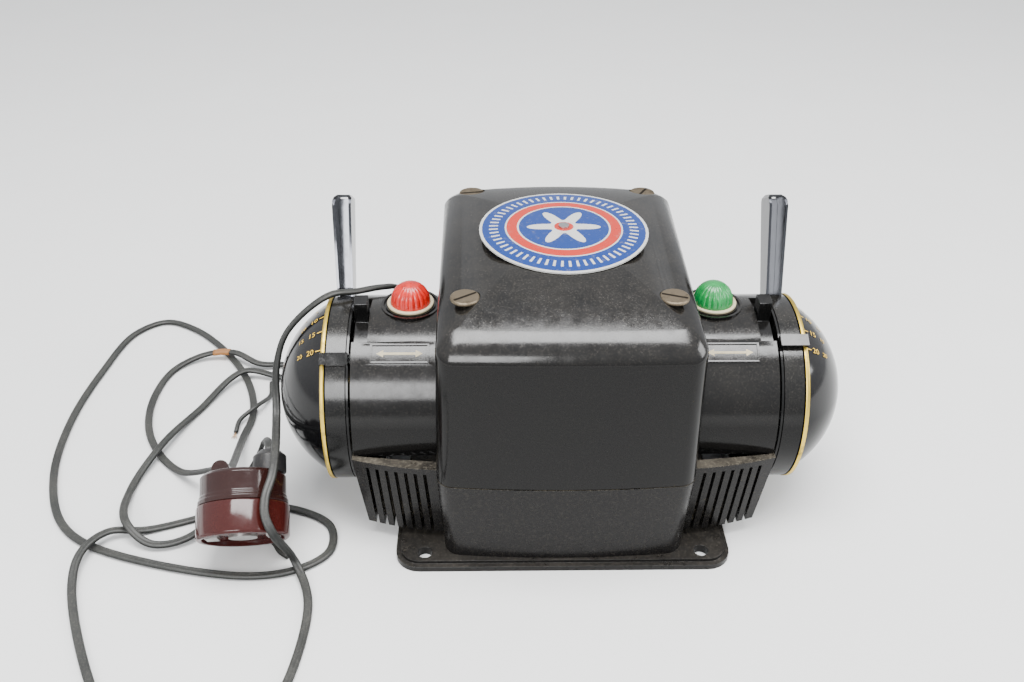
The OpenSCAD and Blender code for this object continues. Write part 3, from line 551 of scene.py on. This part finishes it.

# ---------------------------------------------------------------- cover screws
# Four big round heads in tarnished brass, 15.8 mm across, each with a slot 1.6 mm wide: a flat dark sheet on
# the head, painted shade of the recess.
old_brass = metal_material("tarnished brass", (0.21, 0.17, 0.12), (0.035, 0.028, 0.02), 0.5, (1, 1, 1), 1.0)
# The slot sheets carry painted shade of the recessed slot.
slot_painted_shade = metal_material("slot painted shade", (0.03, 0.025, 0.02), (0.015, 0.012, 0.01), 0.7)
dressed("cover_screws", old_brass, 0.7)
heads = [v.co for v in bpy.data.objects["cover_screws"].data.vertices]
SCREWS = ((-55, -50, 35), (55, -50, -20), (-53, 75, 10), (53, 75, 60))
SLOT_REACH, SLOT_HALF = 7, 0.8
for k, (x, y, turn) in enumerate(SCREWS):
    top = max(v.z for v in heads if math.hypot(v.x - x * MM, v.y - y * MM) < 9 * MM) + 0.00006
    c, n = math.cos(math.radians(turn)), math.sin(math.radians(turn))
    verts = [(x * MM + (u * c - v * n) * MM, y * MM + (u * n + v * c) * MM, top)
             for u, v in ((-SLOT_REACH, -SLOT_HALF), (SLOT_REACH, -SLOT_HALF),
                          (SLOT_REACH, SLOT_HALF), (-SLOT_REACH, SLOT_HALF))]
    add_mesh("screw_slot_%d" % k, verts, [(0, 1, 2, 3)], slot_painted_shade, smooth=False)

# ---------------------------------------------------------------- lamp rings and bulbs
# Cream painted rings round the jewels, worn at the edge, with the bulbs under them. The badge rivet
# is plain steel.
cream = worn_material("cream paint", (0.58, 0.50, 0.33), (0.30, 0.24, 0.15), 0.4, 0.8, 600)
dressed("lamp_rings", cream, 0.4)
paint("lamp_bulbs", cream)
paint("badge_rivet", inner_steel)

# ---------------------------------------------------------------- outlet on the cord
# Round two-part outlet of glossy phenolic lying on its edge: dark brown cover over a red-brown base,
# with pale contact plates underneath and a black plug pushed into its face.
outlet_red = worn_material(
    "red brown phenolic", (0.040, 0.006, 0.005), (0.12, 0.05, 0.035),
    0.1, 0.1, 900, 0.12, 0.0, 0.08)
outlet_brown = worn_material(
    "dark brown phenolic", (0.020, 0.006, 0.005), (0.09, 0.05, 0.04),
    0.1, 0.15, 900, 0.12, 0.0, 0.1)
plug_black = worn_material("plug rubber", (0.010, 0.010, 0.011), (0.08, 0.07, 0.06), 0.35, 0.4, 600)
contact_plate = metal_material("contact plate", (0.62, 0.62, 0.60), (0.30, 0.28, 0.25), 0.35)
dressed("outlet_base", outlet_red, 0.5)
dressed("outlet_cover", outlet_brown, 0.5)
dressed("rear_plug", plug_black, 0.6)
dressed("cord_gland", plug_black, 0.4)
paint("outlet_contacts", contact_plate)

# ---------------------------------------------------------------- badge
# Round enamelled plate: silver rim, blue outer ring with tick marks, red ring, plain star in the middle.
badge_look, tree, shader, add = nodes_of("badge enamel")
place = add("ShaderNodeTexCoord").outputs["Object"]
split = add("ShaderNodeSeparateXYZ")
tree.links.new(place, split.inputs[0])
bx = split.outputs["X"]
by = maths(tree, add, "SUBTRACT", split.outputs["Y"], 10.8 * MM)
across, along = maths(tree, add, "MULTIPLY", bx, bx), maths(tree, add, "MULTIPLY", by, by)
radius = maths(tree, add, "SQRT", maths(tree, add, "ADD", across, along))
angle = maths(tree, add, "ARCTAN2", by, bx)
SILVER, BLUE, RED = (0.62, 0.62, 0.60), (0.012, 0.045, 0.22), (0.55, 0.035, 0.02)
colour = tint(tree, add, maths(tree, add, "LESS_THAN", radius, 46.4 * MM), SILVER, BLUE)
for outer, paint in ((33.5, SILVER), (32.6, RED), (26.6, SILVER), (25.6, BLUE)):
    colour = tint(tree, add, maths(tree, add, "LESS_THAN", radius, outer * MM), colour, paint)
TICKS = 60.0
TICK_IN, TICK_OUT = 37.4 * MM, 42.4 * MM
wave = maths(tree, add, "SINE", maths(tree, add, "MULTIPLY", angle, TICKS))
ticks = maths(tree, add, "GREATER_THAN", wave, 0.5)
below_out = maths(tree, add, "LESS_THAN", radius, TICK_OUT)
inside = maths(tree, add, "MULTIPLY", below_out, maths(tree, add, "GREATER_THAN", radius, TICK_IN))
colour = tint(tree, add, maths(tree, add, "MULTIPLY", ticks, inside), colour, SILVER)
points = maths(tree, add, "ABSOLUTE", maths(tree, add, "COSINE", maths(tree, add, "MULTIPLY", angle, 3.0)))
STAR_LONG, STAR_CORE = 13 * MM, 8 * MM
pointed = maths(tree, add, "MULTIPLY", maths(tree, add, "POWER", points, 3.0), STAR_LONG)
reach = maths(tree, add, "ADD", pointed, STAR_CORE)
colour = tint(tree, add, maths(tree, add, "LESS_THAN", radius, reach), colour, SILVER)
colour = tint(tree, add, maths(tree, add, "LESS_THAN", radius, 5.5 * MM), colour, RED)
rubbed = span(tree, add, noise(tree, add, 300, 6, 0.75), 0.56, 0.8, 0, 0.6)
tree.links.new(tint(tree, add, rubbed, colour, (0.30, 0.28, 0.25)), shader.inputs["Base Color"])
tree.links.new(span(tree, add, noise(tree, add, 120, 4, 0.6), 0.3, 0.7, 0.2, 0.38), shader.inputs["Roughness"])
shader.inputs["Metallic"].default_value = 0.25
for entry in bpy.data.objects["badge"].material_slots:
    entry.material = badge_look


# ---------------------------------------------------------------- lamp jewels
# Fluted plastic domes, 22.8 mm across, on a 2.4 mm wall, pressed into the cream rings.
LAMP_X, LAMP_Y, LAMP_Z = 88, 1, 124.5


def jewel(name, x, node, tone):
    look, tree, shader, add = nodes_of(name + " plastic")
    depth = span(tree, add, noise(tree, add, 260, 4, 0.6), 0.3, 0.7)
    tree.links.new(tint(tree, add, depth, tone, tuple(0.6 * c for c in tone)), shader.inputs["Base Color"])
    gloss = noise(tree, add, 500, 3, 0.5)
    tree.links.new(span(tree, add, gloss, 0.3, 0.7, 0.24, 0.4), shader.inputs["Roughness"])
    shader.inputs["Transmission Weight"].default_value = 0.15
    shader.inputs["Coat Weight"].default_value = 0.4
    shader.inputs["Coat Roughness"].default_value = 0.1
    radius, wall, flutes, around = 11.4, 2.4, 20, 160
    rise = [math.radians(a) for a in range(8, 90, 6)]
    profile = [(1, 0), (1, wall / 2), (1, wall)] + [(math.cos(a), wall + radius * math.sin(a)) for a in rise]
    verts, faces = [], []
    for k, (r, z) in enumerate(profile):
        cut = 0.085 * min(1, k / 3) * (r ** 0.5 if k > 2 else 1)
        for i in range(around):
            a = 2 * math.pi * i / around
            lobe = abs(math.sin(flutes * a / 2)) ** 0.6
            rr = radius * r * (1 - cut * (1 - lobe))
            verts.append(((x + rr * math.cos(a)) * MM, (LAMP_Y + rr * math.sin(a)) * MM, (LAMP_Z + z) * MM))
    for k in range(len(profile) - 1):
        for i in range(around):
            j = (i + 1) % around
            faces.append((k * around + i, k * around + j, (k + 1) * around + j, (k + 1) * around + i))
    faces.append(tuple(range(around)))
    verts.append((x * MM, LAMP_Y * MM, (LAMP_Z + wall + radius) * MM))
    top = len(verts) - 1
    last = (len(profile) - 1) * around
    faces += [(last + i, last + (i + 1) % around, top) for i in range(around)]
    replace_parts(add_mesh(name, verts, faces, look), node)


jewel("jewel_red", -LAMP_X, "lamp_lens_red", (0.75, 0.018, 0.01))
jewel("jewel_green", LAMP_X, "lamp_lens_green", (0.01, 0.33, 0.07))


# ---------------------------------------------------------------- gilt bands on the domes
# A thin gilt line runs round the flange of each dome, where it meets the turning ring.
def lathe_band(name, side, x0, x1, r0, r1, material, slot_name):
    verts, faces, around = [], [], 192
    ring = ((x0, r0), (x0, r1 - 0.1), (x0 + 0.1, r1), (x1 - 0.1, r1), (x1, r1 - 0.1), (x1, r0))
    for x, r in ring:
        for i in range(around):
            a = 2 * math.pi * i / around
            verts.append((side * x * MM, (AXIS_Y + r * math.cos(a)) * MM, (AXIS_Z + r * math.sin(a)) * MM))
    for k in range(len(ring)):
        m = (k + 1) % len(ring)
        for i in range(around):
            j = (i + 1) % around
            faces.append((k * around + i, k * around + j, m * around + j, m * around + i))
    return add_mesh(name, verts, faces, material)


BAND_X, BAND_R = (134.2, 136.4), (55.0, 55.4)
gilt = metal_material("gilt", (0.72, 0.52, 0.10), (0.24, 0.18, 0.06), 0.4, (1, 1, 1), 0.8)
for tag, side in (("left", -1), ("right", 1)):
    lathe_band("gilt_band_" + tag, side, *BAND_X, *BAND_R, gilt, "brass")

# ---------------------------------------------------------------- bench and light
# A plain pale bench, a large soft light overhead, and two weaker ones: front left and right.
bench_look, tree, shader, add = nodes_of("bench")
paper = tint(tree, add, noise(tree, add, 12, 3, 0.5), (0.83, 0.83, 0.82), (0.87, 0.87, 0.86))
tree.links.new(paper, shader.inputs["Base Color"])
shader.inputs["Roughness"].default_value = 0.6
bench_mesh = bpy.data.meshes.new("bench")
REACH = 3
bench_corners = [(-REACH, -REACH, 0), (REACH, -REACH, 0), (REACH, REACH, 0), (-REACH, REACH, 0)]
bench_mesh.from_pydata(bench_corners, [], [(0, 1, 2, 3)])
bench = bpy.data.objects.new("bench", bench_mesh)
bench_mesh.materials.append(bench_look)
bpy.context.collection.objects.link(bench)


def soft_light(name, at, look_at, size, power):
    data = bpy.data.lights.new(name, "AREA")
    data.shape = "RECTANGLE"
    data.size, data.size_y = size
    data.energy = power
    lamp = bpy.data.objects.new(name, data)
    lamp.location = at
    lamp.rotation_euler = (Vector(look_at) - Vector(at)).to_track_quat("-Z", "Y").to_euler()
    bpy.context.collection.objects.link(lamp)


soft_light("overhead", (0.0, -0.15, 1.5), (0, 0, 0.08), (1.3, 0.7), 46)
soft_light("front", (-0.5, -1.4, 0.9), (0, 0, 0.08), (0.9, 0.6), 20)
soft_light("side", (1.4, -0.3, 0.8), (0, 0, 0.08), (0.6, 0.8), 14)
world = bpy.data.worlds.new("room")
bpy.context.scene.world = world
world.use_nodes = True
world.node_tree.nodes["Background"].inputs["Color"].default_value = (0.85, 0.87, 0.9, 1)
world.node_tree.nodes["Background"].inputs["Strength"].default_value = 0.98
